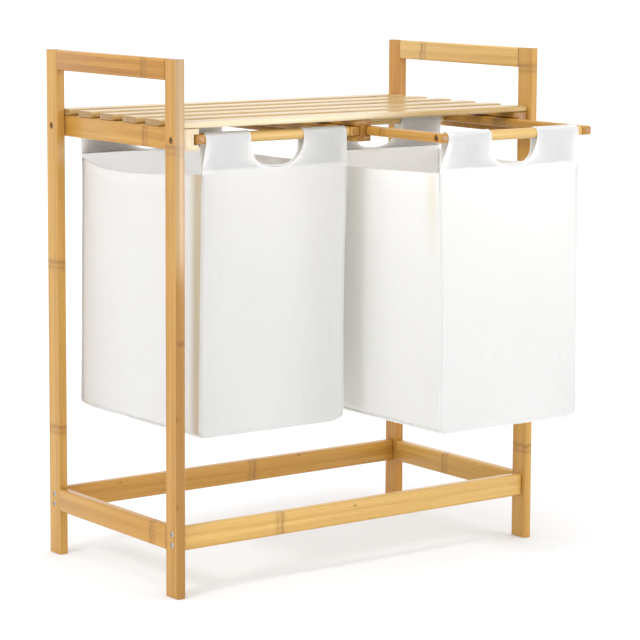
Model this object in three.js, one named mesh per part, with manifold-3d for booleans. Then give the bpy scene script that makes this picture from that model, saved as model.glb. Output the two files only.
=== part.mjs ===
// Laundry hamper with two bins: a bamboo rack of two side frames, a slatted shelf and two stretchers,
// and two pull-out frames that each carry a canvas bag and slide in grooves under the shelf.
// Millimetres. +X is to the right along the front, +Y to the back, +Z up. The hamper is drawn with its
// left bin pushed in and its right bin pulled out. The origin is on the floor, below the middle of the
// box round the whole hamper as it stands so.

import * as THREE from "three";
import { mergeVertices } from "three/addons/utils/BufferGeometryUtils.js";
import Module from "manifold-3d";

const wasm = await Module();
wasm.setup();

// Driving dimensions
const hamperWidth = 640; // over the outer faces of the side frames
const hamperDepth = 345; // over the front and rear legs
const hamperHeight = 740;
const shelfDrop = 85; // top of the side frames to the top of the slats
const pullOut = 166; // how far the right bin stands out of the rack
const seam = 0.3; // gap between two pieces that are glued, screwed or laid on each other
const barEndEdge = 0.8; // easing of the ends of bars, dowels and pins

// Side frames, each a front leg, a rear leg, a handle rail and a bottom rail that are flush on both faces
const legThickness = 14;
const legBreadth = 30;
const legEdge = 4; // rounding of the edges that face forwards or backwards
const legInnerEdge = 1.5; // rounding of the edges that face the rails
const handleRailHeight = 29;
const sideRailEdge = 2.5;
const bottomRailHeight = 33;
const bottomRailUnderside = 65; // floor to the underside of the bottom rails and stretchers

// Pins in the glued joints between the legs and the ends of the rails
const pinDiameter = 8;
const pinLength = 30;
const pinEndClearance = 0.5; // end of a pin to the bottom of its hole
const pinHoleCover = 1.3; // bottom of a pin's hole in a leg to the screw holes that cross the leg

// Stretchers between the side frames, centred on the legs
const stretcherThickness = 14;
const stretcherEdge = 3;

// Shelf: slats on two grooved side rails and a grooved runner in the middle
const slatCount = 6;
const slatWidth = 35;
const slatThickness = 9;
const slatEdge = 2.5;
const shelfSetback = 7; // legs' faces to the ends of the grooved rails, front and rear
const grooveRailHeight = 30;
const flangeThickness = 8;
const flangeReach = 8; // how far the flanges stand out from the web, so the groove's depth
const sideRailWeb = 18;
const runnerWeb = 10;

// Pull-out frames: two arms that run in the grooves, with a dowel near each end
const armWidth = 15;
const armTopClearance = 0.7; // arm to the flange above it
const armEdge = 2;
const armRunnerClearance = 1; // arm to the web of the centre runner
const armRailClearance = 4; // arm to the web of the side rail
const dowelDiameter = 15;
const dowelInset = 10.5; // end of an arm to the axis of its dowel

// Canvas bags: open boxes that hang from the dowels by hem tunnels, with a half-moon grip front and rear
const bagSideClearance = 4.3; // end of a tunnel to the arm beside it
const bagOverhang = 5.5; // how far the body of a bag stands out past the ends of its tunnels
const bagWall = 2;
const bagUnderside = 214; // floor to the underside of the bags
const sideHemDrop = 57; // dowel axis to the top hem of the bag's side panels
const tunnelWall = 1.5;
const tunnelClearance = 0.3;
const gripHalfWidth = 45.5;
const gripDrop = 47; // dowel axis to the lowest point of the grip

// Screws: a zinc pair through each leg into the stretcher, one through each leg into the grooved rail,
// and one through each arm into the end of its dowel. A shank runs from under the head to the tip.
const stretcherScrew = {
  headDiameter: 7.7, headHeight: 2, sinking: 0.4, headClearance: 0.35,
  shankDiameter: 4, shankLength: 40, tip: 3, recessWidth: 4, recessDepth: 1.5,
};
const stretcherScrewSpacing = 15;
const shelfScrewCover = 5.2; // tip of a shelf screw to the groove behind the web
const shelfScrewReach = legThickness + seam + sideRailWeb - shelfScrewCover; // from the leg's outer face
const shelfScrewSinking = 1.5;
const shelfScrewHeadHeight = 2.6;
const shelfScrew = {
  headDiameter: 8.6, headHeight: shelfScrewHeadHeight, sinking: shelfScrewSinking, headClearance: 0.6,
  shankDiameter: 4, tip: 3, recessWidth: 5, recessDepth: 1.6, recessSlot: 1.2,
  shankLength: shelfScrewReach - shelfScrewSinking - shelfScrewHeadHeight,
};
const armScrew = {
  headDiameter: 8.4, headHeight: 2.6, sinking: 2.6, headClearance: 0.5,
  shankDiameter: 4, shankLength: 32, tip: 3, recessWidth: 5, recessDepth: 1.6, recessSlot: 1.2,
};
const screwEdge = 0.5; // chamfer round a screw head
const screwHoleClearance = 0.35; // shank to hole, all round
const screwTipClearance = 1; // tip to the bottom of its hole
const cutOverrun = 1; // how far a cutter stands out of what it cuts

// Smoothness of rounded shapes
const edgeSegments = 2;
const dowelSegments = 20;
const tunnelSegments = 20;
const screwSegments = 12;
const holeSegments = 12;
const gripSegments = 10;

// Sizes that follow
const shelfHeight = hamperHeight - shelfDrop; // floor to the top of the slats
const frameInside = hamperWidth / 2 - legThickness; // middle of the hamper to a side frame's inner face
const legCentreX = hamperWidth / 2 - legThickness / 2;
const legCentreY = hamperDepth / 2 - legBreadth / 2;
const sideRailLength = hamperDepth - 2 * legBreadth - 2 * seam;
const stretcherLength = 2 * (frameInside - seam);
const lowerBarCentreZ = bottomRailUnderside + bottomRailHeight / 2;
const handleRailCentreZ = hamperHeight - handleRailHeight / 2;
const stretcherScrewHoleRadius = stretcherScrew.shankDiameter / 2 + screwHoleClearance;
const pinInLeg = legBreadth / 2 - stretcherScrewHoleRadius - pinHoleCover - pinEndClearance;
const pinCentreY = hamperDepth / 2 - legBreadth + pinInLeg - pinLength / 2;
const railLength = hamperDepth - 2 * shelfSetback;
const railTop = shelfHeight - slatThickness - seam;
const railCentreZ = railTop - grooveRailHeight / 2;
const sideRailOuter = frameInside - seam;
const armLength = railLength;
const armHeight = grooveRailHeight - 2 * flangeThickness - seam - armTopClearance;
const armCentreZ = railTop - grooveRailHeight + flangeThickness + seam + armHeight / 2;
const outerArmOutside = sideRailOuter - sideRailWeb - armRailClearance;
const innerArmOutside = runnerWeb / 2 + armRunnerClearance;
const binCentreX = (outerArmOutside + innerArmOutside) / 2;
const binHalfWidth = (outerArmOutside - innerArmOutside) / 2;
const dowelLength = 2 * (binHalfWidth - armWidth - seam);
const dowelCentreY = armLength / 2 - dowelInset;
const tunnelLength = 2 * (binHalfWidth - armWidth - bagSideClearance);
const bagWidth = tunnelLength + 2 * bagOverhang;

// Finishes
const bamboo = { color: 0xcf9a52, roughness: 0.5, metalness: 0 };
const paleBamboo = { color: 0xe2bd82, roughness: 0.4, metalness: 0 };
const canvas = { color: 0xf0efea, roughness: 0.95, metalness: 0 };
const zinc = { color: 0xb4b8bc, roughness: 0.35, metalness: 1 };
const bronze = { color: 0x6b5640, roughness: 0.45, metalness: 1 };

// Solids and geometries for cutting and joining
function toSolid(geometry) {
  const bare = geometry.clone();
  bare.deleteAttribute("normal");
  bare.deleteAttribute("uv");
  const merged = mergeVertices(bare);
  return new wasm.Manifold(new wasm.Mesh({
    numProp: 3,
    vertProperties: new Float32Array(merged.attributes.position.array),
    triVerts: new Uint32Array(merged.index.array),
  }));
}

function toGeometry(solid) {
  const mesh = solid.getMesh();
  const geometry = new THREE.BufferGeometry();
  geometry.setAttribute("position", new THREE.BufferAttribute(new Float32Array(mesh.vertProperties), 3));
  geometry.setIndex(new THREE.BufferAttribute(new Uint32Array(mesh.triVerts), 1));
  geometry.computeVertexNormals();
  return geometry;
}

function cut(geometry, cutters) {
  let solid = toSolid(geometry);
  for (const cutter of cutters) {
    solid = solid.subtract(toSolid(cutter));
  }
  return toGeometry(solid);
}

// A rectangle with rounded corners, centred on the origin, with one radius below and one above
function roundedRectangle(across, high, lowerRadius, upperRadius) {
  const x = across / 2;
  const y = high / 2;
  const shape = new THREE.Shape();
  shape.moveTo(-x + lowerRadius, -y);
  shape.lineTo(x - lowerRadius, -y);
  shape.absarc(x - lowerRadius, -y + lowerRadius, lowerRadius, -Math.PI / 2, 0);
  shape.lineTo(x, y - upperRadius);
  shape.absarc(x - upperRadius, y - upperRadius, upperRadius, 0, Math.PI / 2);
  shape.lineTo(-x + upperRadius, y);
  shape.absarc(-x + upperRadius, y - upperRadius, upperRadius, Math.PI / 2, Math.PI);
  shape.lineTo(-x, -y + lowerRadius);
  shape.absarc(-x + lowerRadius, -y + lowerRadius, lowerRadius, Math.PI, 1.5 * Math.PI);
  return shape;
}

// A section extruded along Z and centred on it, with its two ends eased
function extrudeCentred(shape, length, easing) {
  const geometry = new THREE.ExtrudeGeometry(shape, {
    depth: length - 2 * easing,
    curveSegments: edgeSegments,
    bevelEnabled: easing > 0,
    bevelThickness: easing,
    bevelSize: easing,
    bevelOffset: -easing,
    bevelSegments: 1,
    steps: 1,
  });
  return geometry.translate(0, 0, easing - length / 2);
}

// Straight bars with rounded edges along X and Y
function barAlongX(length, thickness, high, edge) {
  const section = roundedRectangle(high, thickness, edge, edge);
  return extrudeCentred(section, length, barEndEdge).rotateY(Math.PI / 2);
}

function barAlongY(length, across, high, edge) {
  const section = roundedRectangle(across, high, edge, edge);
  return extrudeCentred(section, length, barEndEdge).rotateX(-Math.PI / 2);
}

// A shape turned round the Y axis, from points that run from its lower end to its upper end
function turned(points, segments) {
  const profile = points.map(([radius, along]) => new THREE.Vector2(radius, along));
  return new THREE.LatheGeometry(profile, segments);
}

// The same with its upper end pointing along X in the given direction
function turnedAlongX(points, segments, direction) {
  return turned(points, segments).rotateZ(-direction * Math.PI / 2);
}

// A round rod along Y with eased ends
function rod(diameter, length, segments) {
  const radius = diameter / 2;
  const half = length / 2;
  return turned([
    [0, -half],
    [radius - barEndEdge, -half],
    [radius, -half + barEndEdge],
    [radius, half - barEndEdge],
    [radius - barEndEdge, half],
    [0, half],
  ], segments);
}

// A screw whose head's outer face is at the origin and faces along X in the given direction
function screwGeometry(screw, direction) {
  const headRadius = screw.headDiameter / 2;
  const shankRadius = screw.shankDiameter / 2;
  const end = -screw.headHeight - screw.shankLength;
  const body = turnedAlongX([
    [0, end],
    [shankRadius, end + screw.tip],
    [shankRadius, -screw.headHeight],
    [headRadius, -screw.headHeight],
    [headRadius, -screwEdge],
    [headRadius - screwEdge, 0],
    [0, 0],
  ], screwSegments, direction);
  const cutHeight = 2 * screw.recessDepth;
  if (screw.recessSlot) {
    const upright = new THREE.BoxGeometry(cutHeight, screw.recessSlot, screw.recessWidth);
    const level = new THREE.BoxGeometry(cutHeight, screw.recessWidth, screw.recessSlot);
    return cut(body, [upright, level]);
  }
  const hexRadius = screw.recessWidth / Math.sqrt(3);
  return cut(body, [new THREE.CylinderGeometry(hexRadius, hexRadius, cutHeight, 6).rotateZ(Math.PI / 2)]);
}

// The hole for a screw: its counterbore opens at the origin, in the face that the screw enters
function screwHole(screw, direction) {
  const seat = -screw.sinking - screw.headHeight - seam;
  const end = seat - screw.shankLength - screwTipClearance;
  const shankRadius = screw.shankDiameter / 2 + screwHoleClearance;
  const boreRadius = screw.headDiameter / 2 + screw.headClearance;
  return turnedAlongX([
    [0, end],
    [shankRadius, end],
    [shankRadius, seat],
    [boreRadius, seat],
    [boreRadius, cutOverrun],
    [0, cutOverrun],
  ], holeSegments, direction);
}

// The scene graph
const hamper = new THREE.Group();
const leftBin = new THREE.Group();
const rightBin = new THREE.Group();
hamper.add(leftBin, rightBin);
hamper.position.y = (pullOut - shelfSetback) / 2;
leftBin.position.x = -binCentreX;
rightBin.position.set(binCentreX, -pullOut, 0);

function place(group, name, geometry, finish, x, y, z, turn = 0) {
  const mesh = new THREE.Mesh(geometry, new THREE.MeshStandardMaterial(finish));
  mesh.name = name;
  mesh.position.set(x, y, z);
  mesh.rotation.z = turn;
  group.add(mesh);
}

const sides = [["left", -1], ["right", 1]];
const ends = [["front", -1], ["rear", 1]];

// Side frames, with the pins in their joints and the screws through their legs
const jointHeights = [["handle_rail", handleRailCentreZ], ["bottom_rail", lowerBarCentreZ]];
const stretcherScrewHeights = [
  ["lower", lowerBarCentreZ - stretcherScrewSpacing / 2],
  ["upper", lowerBarCentreZ + stretcherScrewSpacing / 2],
];

function pinHole() {
  const radius = pinDiameter / 2 + seam;
  return new THREE.CylinderGeometry(radius, radius, pinLength + 2 * pinEndClearance, holeSegments);
}

function legGeometry(side, end) {
  const lowerRadius = end < 0 ? legEdge : legInnerEdge;
  const upperRadius = end < 0 ? legInnerEdge : legEdge;
  const section = roundedRectangle(legThickness, legBreadth, lowerRadius, upperRadius);
  const leg = extrudeCentred(section, hamperHeight, barEndEdge).translate(0, 0, hamperHeight / 2);
  const outerFace = side * legThickness / 2;
  const holes = [screwHole(shelfScrew, side).translate(outerFace, 0, railCentreZ)];
  for (const [, z] of stretcherScrewHeights) {
    holes.push(screwHole(stretcherScrew, side).translate(outerFace, 0, z));
  }
  for (const [, z] of jointHeights) {
    holes.push(pinHole().translate(0, end * (pinCentreY - legCentreY), z));
  }
  return cut(leg, holes);
}

function sideFrameRailGeometry(high) {
  const bar = barAlongY(sideRailLength, legThickness, high, sideRailEdge);
  return cut(bar, ends.map(([, end]) => pinHole().translate(0, end * pinCentreY, 0)));
}

for (const [sideName, side] of sides) {
  for (const [endName, end] of ends) {
    const leg = `${sideName}_${endName}_leg`;
    place(hamper, leg, legGeometry(side, end), bamboo, side * legCentreX, end * legCentreY, 0);
    for (const [level, z] of stretcherScrewHeights) {
      const faceX = side * (hamperWidth / 2 - stretcherScrew.sinking);
      const name = `${sideName}_${endName}_${level}_stretcher_screw`;
      place(hamper, name, screwGeometry(stretcherScrew, side), zinc, faceX, end * legCentreY, z);
    }
    const faceX = side * (hamperWidth / 2 - shelfScrew.sinking);
    const name = `${sideName}_${endName}_shelf_screw`;
    place(hamper, name, screwGeometry(shelfScrew, side), bronze, faceX, end * legCentreY, railCentreZ);
    for (const [joint, z] of jointHeights) {
      const pin = rod(pinDiameter, pinLength, holeSegments);
      const pinName = `${sideName}_${endName}_${joint}_pin`;
      place(hamper, pinName, pin, bamboo, side * legCentreX, end * pinCentreY, z);
    }
  }
  const handleRail = sideFrameRailGeometry(handleRailHeight);
  place(hamper, `${sideName}_handle_rail`, handleRail, bamboo, side * legCentreX, 0, handleRailCentreZ);
  const bottomRail = sideFrameRailGeometry(bottomRailHeight);
  place(hamper, `${sideName}_bottom_rail`, bottomRail, bamboo, side * legCentreX, 0, lowerBarCentreZ);
}

// Stretchers, with the holes that their screws enter
function stretcherGeometry() {
  const bar = barAlongX(stretcherLength, stretcherThickness, bottomRailHeight, stretcherEdge);
  const holes = [];
  for (const [, side] of sides) {
    for (const [, z] of stretcherScrewHeights) {
      const hole = screwHole(stretcherScrew, side);
      holes.push(hole.translate(side * hamperWidth / 2, 0, z - lowerBarCentreZ));
    }
  }
  return cut(bar, holes);
}

for (const [endName, end] of ends) {
  place(hamper, `${endName}_stretcher`, stretcherGeometry(), bamboo, 0, end * legCentreY, lowerBarCentreZ);
}

// Shelf: the slats, spaced evenly from the front ends of the grooved rails to their rear ends
const slatPitch = (railLength - slatWidth) / (slatCount - 1);
for (let i = 0; i < slatCount; i += 1) {
  const slat = barAlongX(2 * sideRailOuter, slatWidth, slatThickness, slatEdge);
  const y = (slatWidth - railLength) / 2 + i * slatPitch;
  place(hamper, `slat_${i + 1}`, slat, paleBamboo, 0, y, shelfHeight - slatThickness / 2);
}

// Grooved side rails: a web against the legs and two flanges that stand inwards
const grooveHalfHeight = grooveRailHeight / 2 - flangeThickness;

function groovedRailGeometry() {
  const high = grooveRailHeight / 2;
  const outline = [
    [0, -high],
    [sideRailWeb + flangeReach, -high],
    [sideRailWeb + flangeReach, -grooveHalfHeight],
    [sideRailWeb, -grooveHalfHeight],
    [sideRailWeb, grooveHalfHeight],
    [sideRailWeb + flangeReach, grooveHalfHeight],
    [sideRailWeb + flangeReach, high],
    [0, high],
  ];
  const shape = new THREE.Shape(outline.map(([x, z]) => new THREE.Vector2(x, z)));
  const rail = extrudeCentred(shape, railLength, 0).rotateX(-Math.PI / 2);
  const legFace = -legThickness - seam;
  const hole = screwHole(shelfScrew, -1).translate(legFace, 0, 0);
  return cut(rail, ends.map(([, end]) => hole.clone().translate(0, end * legCentreY, 0)));
}

for (const [sideName, side] of sides) {
  const turn = side < 0 ? 0 : Math.PI;
  const railX = side * sideRailOuter;
  place(hamper, `${sideName}_grooved_rail`, groovedRailGeometry(), bamboo, railX, 0, railCentreZ, turn);
}

// Centre runner: a web with flanges to both sides, so that it has a groove on each side
function runnerGeometry() {
  const high = grooveRailHeight / 2;
  const web = runnerWeb / 2;
  const wide = web + flangeReach;
  const outline = [
    [-wide, -high],
    [wide, -high],
    [wide, -grooveHalfHeight],
    [web, -grooveHalfHeight],
    [web, grooveHalfHeight],
    [wide, grooveHalfHeight],
    [wide, high],
    [-wide, high],
    [-wide, grooveHalfHeight],
    [-web, grooveHalfHeight],
    [-web, -grooveHalfHeight],
    [-wide, -grooveHalfHeight],
  ];
  const shape = new THREE.Shape(outline.map(([x, z]) => new THREE.Vector2(x, z)));
  return extrudeCentred(shape, railLength, 0).rotateX(-Math.PI / 2);
}

place(hamper, "centre_runner", runnerGeometry(), bamboo, 0, 0, railCentreZ);

// Arms of the pull-out frames, with a counterbored hole at each end for the screw into the dowel
function armGeometry() {
  const bar = barAlongY(armLength, armWidth, armHeight, armEdge);
  const hole = screwHole(armScrew, -1).translate(-armWidth / 2, 0, 0);
  return cut(bar, ends.map(([, end]) => hole.clone().translate(0, end * dowelCentreY, 0)));
}

// Dowels between the arms, with the holes that their screws enter
function dowelGeometry() {
  const dowel = rod(dowelDiameter, dowelLength, dowelSegments).rotateZ(-Math.PI / 2);
  const holes = sides.map(([, side]) => screwHole(armScrew, side).translate(side * binHalfWidth, 0, 0));
  return cut(dowel, holes);
}

// A bag, with its tunnels round the dowels and the grips cut through its front and rear panels
function bagGeometry() {
  const halfDepth = dowelCentreY + bagWall / 2;
  const bodyTop = armCentreZ - sideHemDrop;
  const bodyHeight = bodyTop - bagUnderside;
  const bodyCentreZ = bagUnderside + bodyHeight / 2;
  const outside = new THREE.BoxGeometry(bagWidth, 2 * halfDepth, bodyHeight).translate(0, 0, bodyCentreZ);
  const hollowHeight = bodyHeight - bagWall + cutOverrun;
  const hollowCentreZ = bagUnderside + bagWall + hollowHeight / 2;
  const hollow = new THREE.BoxGeometry(bagWidth - 2 * bagWall, 2 * (halfDepth - bagWall), hollowHeight);
  let bag = toSolid(outside).subtract(toSolid(hollow.translate(0, 0, hollowCentreZ)));

  const bore = dowelDiameter / 2 + tunnelClearance;
  const tunnelRadius = bore + tunnelWall;
  const panelTop = armCentreZ - bore - tunnelWall / 2;
  const panelBottom = bodyTop - bagWall;
  const half = tunnelLength / 2;
  for (const [, end] of ends) {
    const panel = new THREE.BoxGeometry(tunnelLength, bagWall, panelTop - panelBottom);
    panel.translate(0, end * dowelCentreY, (panelTop + panelBottom) / 2);
    const corners = [[bore, -half], [tunnelRadius, -half], [tunnelRadius, half], [bore, half]];
    const tunnel = turnedAlongX([...corners, corners[0]], tunnelSegments, 1);
    tunnel.translate(0, end * dowelCentreY, armCentreZ);
    bag = bag.add(toSolid(panel)).add(toSolid(tunnel));
  }

  const grip = new THREE.Shape();
  grip.moveTo(gripHalfWidth, 0);
  grip.lineTo(gripHalfWidth, tunnelRadius + cutOverrun);
  grip.lineTo(-gripHalfWidth, tunnelRadius + cutOverrun);
  grip.lineTo(-gripHalfWidth, 0);
  grip.absellipse(0, 0, gripHalfWidth, gripDrop, Math.PI, 2 * Math.PI);
  const gripLength = 2 * (dowelCentreY + tunnelRadius + cutOverrun);
  const gripCut = new THREE.ExtrudeGeometry(grip, {
    depth: gripLength, curveSegments: gripSegments, bevelEnabled: false, steps: 1,
  });
  gripCut.rotateX(Math.PI / 2).translate(0, gripLength / 2, armCentreZ);
  return toGeometry(bag.subtract(toSolid(gripCut)));
}

// Bins: the same four bars, four screws and bag in each
for (const [binName, bin] of [["left_bin", leftBin], ["right_bin", rightBin]]) {
  for (const [sideName, side] of sides) {
    const turn = side < 0 ? 0 : Math.PI;
    const armX = side * (binHalfWidth - armWidth / 2);
    place(bin, `${binName}_${sideName}_arm`, armGeometry(), bamboo, armX, 0, armCentreZ, turn);
    for (const [endName, end] of ends) {
      const faceX = side * (binHalfWidth - armScrew.sinking);
      const name = `${binName}_${endName}_${sideName}_arm_screw`;
      place(bin, name, screwGeometry(armScrew, side), bronze, faceX, end * dowelCentreY, armCentreZ);
    }
  }
  for (const [endName, end] of ends) {
    place(bin, `${binName}_${endName}_dowel`, dowelGeometry(), bamboo, 0, end * dowelCentreY, armCentreZ);
  }
  place(bin, `${binName}_canvas_bag`, bagGeometry(), canvas, 0, 0, 0);
}

export default hamper;
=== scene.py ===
# Laundry hamper with two bins: a bamboo rack with a slatted shelf, under which two frames with canvas
# bags slide in grooves. Metres. +X is to the right along the front, +Y to the back, +Z up.
import math

import bpy
import numpy as np
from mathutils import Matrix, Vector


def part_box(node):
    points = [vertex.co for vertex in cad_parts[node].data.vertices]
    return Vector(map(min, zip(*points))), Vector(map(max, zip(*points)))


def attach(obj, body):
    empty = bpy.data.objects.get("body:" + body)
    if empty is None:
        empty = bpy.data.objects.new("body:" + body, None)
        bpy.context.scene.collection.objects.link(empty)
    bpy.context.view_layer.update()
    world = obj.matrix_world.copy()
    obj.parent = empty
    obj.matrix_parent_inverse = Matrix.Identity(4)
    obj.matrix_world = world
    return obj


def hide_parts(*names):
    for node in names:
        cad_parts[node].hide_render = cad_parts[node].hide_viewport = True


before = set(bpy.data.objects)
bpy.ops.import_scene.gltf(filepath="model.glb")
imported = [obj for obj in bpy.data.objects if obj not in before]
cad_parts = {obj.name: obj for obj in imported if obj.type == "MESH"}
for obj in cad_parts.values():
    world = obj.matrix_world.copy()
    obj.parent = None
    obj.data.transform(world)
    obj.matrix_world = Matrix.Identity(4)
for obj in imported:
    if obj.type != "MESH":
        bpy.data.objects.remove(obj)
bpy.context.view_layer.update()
scene = bpy.context.scene


# The camera stands to the left of the front, a little higher than the hamper, as the photographer's did.
# Its frame is shifted down, which keeps the legs upright in the picture.
camera_data = bpy.data.cameras.new("camera")
camera_data.lens = 145.1
camera_data.sensor_width = 36
camera_data.shift_y = -0.1
camera = bpy.data.objects.new("camera", camera_data)
camera.location = (-2.2135, -2.9814, 0.9199)
camera.rotation_euler = (math.radians(82.679), math.radians(-0.285), math.radians(-36.406))
scene.collection.objects.link(camera)
scene.camera = camera


# Legs: four bars of laminated bamboo, 14 by 30 mm, planed and sanded, with the edges that face forwards
# or backwards well rounded. Each is counterbored from outside for three screws and has a clear satin
# lacquer. The grain runs along the bar, and darker bands cross it where the cane had its nodes.
class Wire:
    """One output of a material's node. Sums, products and differences of wires add Math nodes, and
    node() adds any other node: its type, its settings, then values or wires for its sockets."""

    def __init__(self, tree, socket=None):
        self.tree = tree
        self.socket = socket

    def node(self, kind, settings, inputs, output=0):
        made = self.tree.nodes.new(kind)
        for name, value in settings.items():
            setattr(made, name, value)
        for name, value in inputs.items():
            if isinstance(value, Wire):
                self.tree.links.new(value.socket, made.inputs[name])
            else:
                made.inputs[name].default_value = value
        if isinstance(output, tuple):
            return [Wire(self.tree, made.outputs[name]) for name in output]
        return Wire(self.tree, made.outputs[output])

    def math(self, operation, *others):
        return self.node("ShaderNodeMath", {"operation": operation}, dict(enumerate((self, *others))))

    def __add__(self, other):
        return self.math("ADD", other)

    def __sub__(self, other):
        return self.math("SUBTRACT", other)

    def __rsub__(self, other):
        return self.node("ShaderNodeMath", {"operation": "SUBTRACT"}, {0: other, 1: self})

    def __mul__(self, other):
        return self.math("MULTIPLY", other)

    __radd__ = __add__
    __rmul__ = __mul__

    def size(self):
        return self.math("ABSOLUTE")

    def fade(self, start, stop):
        """1 where the value is past stop, 0 before start, with a smooth step between them."""
        values = {"Value": self, "From Min": start, "From Max": stop}
        return self.node("ShaderNodeMapRange", {"interpolation_type": "SMOOTHSTEP"}, values)

    def grain(self, scale, detail):
        """Noise from 0 to 1, finer the larger the scale is in a direction."""
        place = self.node("ShaderNodeVectorMath", {"operation": "MULTIPLY"}, {0: self, 1: scale})
        return self.node("ShaderNodeTexNoise", {}, {"Vector": place, "Scale": 1.0, "Detail": detail})

    def mixed(self, low, high):
        """The colour low where the value is 0 and high where it is 1."""
        values = {"Factor": self, 6: low, 7: high}
        return self.node("ShaderNodeMix", {"data_type": "RGBA"}, values, 2)

    def link(self, shader, name):
        self.tree.links.new(self.socket, shader.inputs[name])


def new_material(name):
    """A material, its shader and a wire that adds nodes to it."""
    material = bpy.data.materials.new(name)
    material.use_nodes = True
    return material, material.node_tree.nodes["Principled BSDF"], Wire(material.node_tree)


def set_inputs(shader, values):
    for name, value in values.items():
        shader.inputs[name].default_value = value


STRIP = 0.0072  # width of a glued strip of cane
# How fine the parts of the grain are, per metre across it and along it.
STREAKS = (150.0, 2.6)
FIBRES = (1 / 0.0013, 12.0)
FLECKS = (1 / 0.0009, 95.0)
FRAY = (420.0, 40.0)
GOLD = ((0.395, 0.178, 0.024), (0.63, 0.345, 0.072))
BAND_COLOUR = (0.2, 0.08, 0.018, 1)
# The lines of a node: how far on along the bar, half the width, half the core's width, and strength.
NODE_LINES = ((0.0, 0.0045, 0.0, 0.42), (0.0085, 0.0035, 0.0, 0.26), (0.004, 0.015, 0.002, 0.15))
KNOT_LONG, KNOT_WIDE = 0.0055, 0.0028
END_GRAIN = (0.0009, 0.0004)  # distances from the end between which its brown fades in


def bamboo(node, along, across, bands=(), depth=1.0, tones=GOLD, roughness=0.42, seed=0.0, knots=(),
           stains=(), strip=STRIP, ends=0.45, nodes=1.0):
    """Bamboo with its grain along one axis and its strips side by side across another. Shade = a step
    for each strip + streaks + fibres - flecks, between two tones raised to the power depth. A node is
    two soft brown lines and a shade round both at each band, frayed by the fibres and as strong as nodes
    says. A knot is a small brown spot. A mark is an amount of a colour, which fades in from start to stop
    along each of its axes: in brown it is a real stain, in cream or grey a painted highlight. End grain
    is browner by the share ends."""
    material, shader, wire = new_material(f"bamboo_{node}")
    place = wire.node("ShaderNodeTexCoord", {}, {}, "Object")
    parts = wire.node("ShaderNodeSeparateXYZ", {}, {0: place}, ("X", "Y", "Z"))
    length, width = parts[along], parts[across]

    def grain(fineness, detail):
        return place.grain([fineness[axis == along] for axis in range(3)], detail)

    number = (width * (1 / strip) + seed).math("FLOOR")
    strip_tone = wire.node("ShaderNodeTexWhiteNoise", {"noise_dimensions": "1D"}, {"W": number + seed})
    streaks = grain(STREAKS, 3.0)
    fibres = grain(FIBRES, 2.0)
    flecks = grain(FLECKS, 0.0).fade(0.6, 0.75)
    fray = grain(FRAY, 1.0)
    shade = strip_tone * 0.36 + streaks.fade(0.3, 0.7) * 0.36 + fibres.fade(0.25, 0.75) * 0.28
    dark, light = (tuple(part**depth for part in tone) + (1,) for tone in tones)
    colour = (shade - flecks * 0.16).mixed(dark, light)
    askew = strip_tone * 0.0016 + fray * 0.007 - 0.0043
    for band in bands:
        offset = length + askew - band
        lines = [(offset + on).size().fade(wide, core) * strong for on, wide, core, strong in NODE_LINES]
        brown = (lines[0] + lines[1] + lines[2]) * (fray * 1.4 + fibres * 0.4)
        colour = (brown * nodes).mixed(colour, BAND_COLOUR)
    for knot_length, knot_width in knots:
        lengthwise = (length - knot_length) * (1 / KNOT_LONG)
        crosswise = (width - knot_width) * (1 / KNOT_WIDE)
        away = lengthwise * lengthwise + crosswise * crosswise
        colour = ((away + fibres * 0.5).fade(1.3, 0.2) * 0.55).mixed(colour, BAND_COLOUR)
    # Marks: real stains in brown, and painted highlights in cream or grey on faces that look forwards.
    for amount, mark_colour, limits in stains:
        share = fibres * 0.3 + 0.85
        for axis, start, stop in limits:
            share = share * parts[axis].fade(start, stop)
        colour = (share * amount).mixed(colour, mark_colour)
    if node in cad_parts:
        low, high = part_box(node)
        inset = (length - low[along]).math("MINIMUM", high[along] - length)
        colour = (inset.fade(*END_GRAIN) * ends).mixed(colour, BAND_COLOUR)
    colour.link(shader, "Base Color")
    (fibres * 0.14 + (roughness - 0.05)).link(shader, "Roughness")
    set_inputs(shader, {"Specular IOR Level": 0.25, "Coat Weight": 0.42, "Coat Roughness": 0.16})
    bump = {"Height": fibres, "Strength": 0.12, "Distance": 0.0004}
    wire.node("ShaderNodeBump", {}, bump).link(shader, "Normal")
    return material


def rounded(corners, radii, steps, support=0.0004):
    """The outline of a section, each corner of an anticlockwise polygon turned into an arc. Gives for
    each point the arc's centre, the outward normal and the signed radius, so that the outline set in by
    d is centre + (radius - d) * normal. Support points just outside an arc keep flat faces flat. They
    take a third of a flat at most."""
    corners = np.array(corners, float)
    before = corners - np.roll(corners, 1, 0)
    after = np.roll(corners, -1, 0) - corners
    length = np.linalg.norm(before, axis=1)
    before /= length[:, None]
    after /= np.linalg.norm(after, axis=1)[:, None]
    turn = np.sign(before[:, 0] * after[:, 1] - before[:, 1] * after[:, 0])
    first = np.stack([before[:, 1], -before[:, 0]], 1)
    last = np.stack([after[:, 1], -after[:, 0]], 1)
    radius = turn * np.broadcast_to(radii, len(corners))
    lean = 1 + (first * last).sum(1)
    taken = np.abs(radius) * np.sqrt((2 - lean) / lean)
    support = np.minimum(support, (length - taken - np.roll(taken, 1)) / 3)[:, None]
    centre = corners - radius[:, None] * (first + last) / lean[:, None]
    share = np.concatenate([[0], np.linspace(0, 1, steps + 1), [1]])[None, :, None]
    normal = first[:, None] * np.cos(share * math.pi / 2) + last[:, None] * np.sin(share * math.pi / 2)
    centre = np.repeat(centre[:, None], steps + 3, 1)
    centre[:, 0] -= support * before
    centre[:, -1] += np.roll(support, -1, 0) * after
    return centre.reshape(-1, 2), normal.reshape(-1, 2), np.repeat(radius, steps + 3)


SHARP = math.radians(35)  # faces that meet at a larger angle keep a sharp edge


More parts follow.
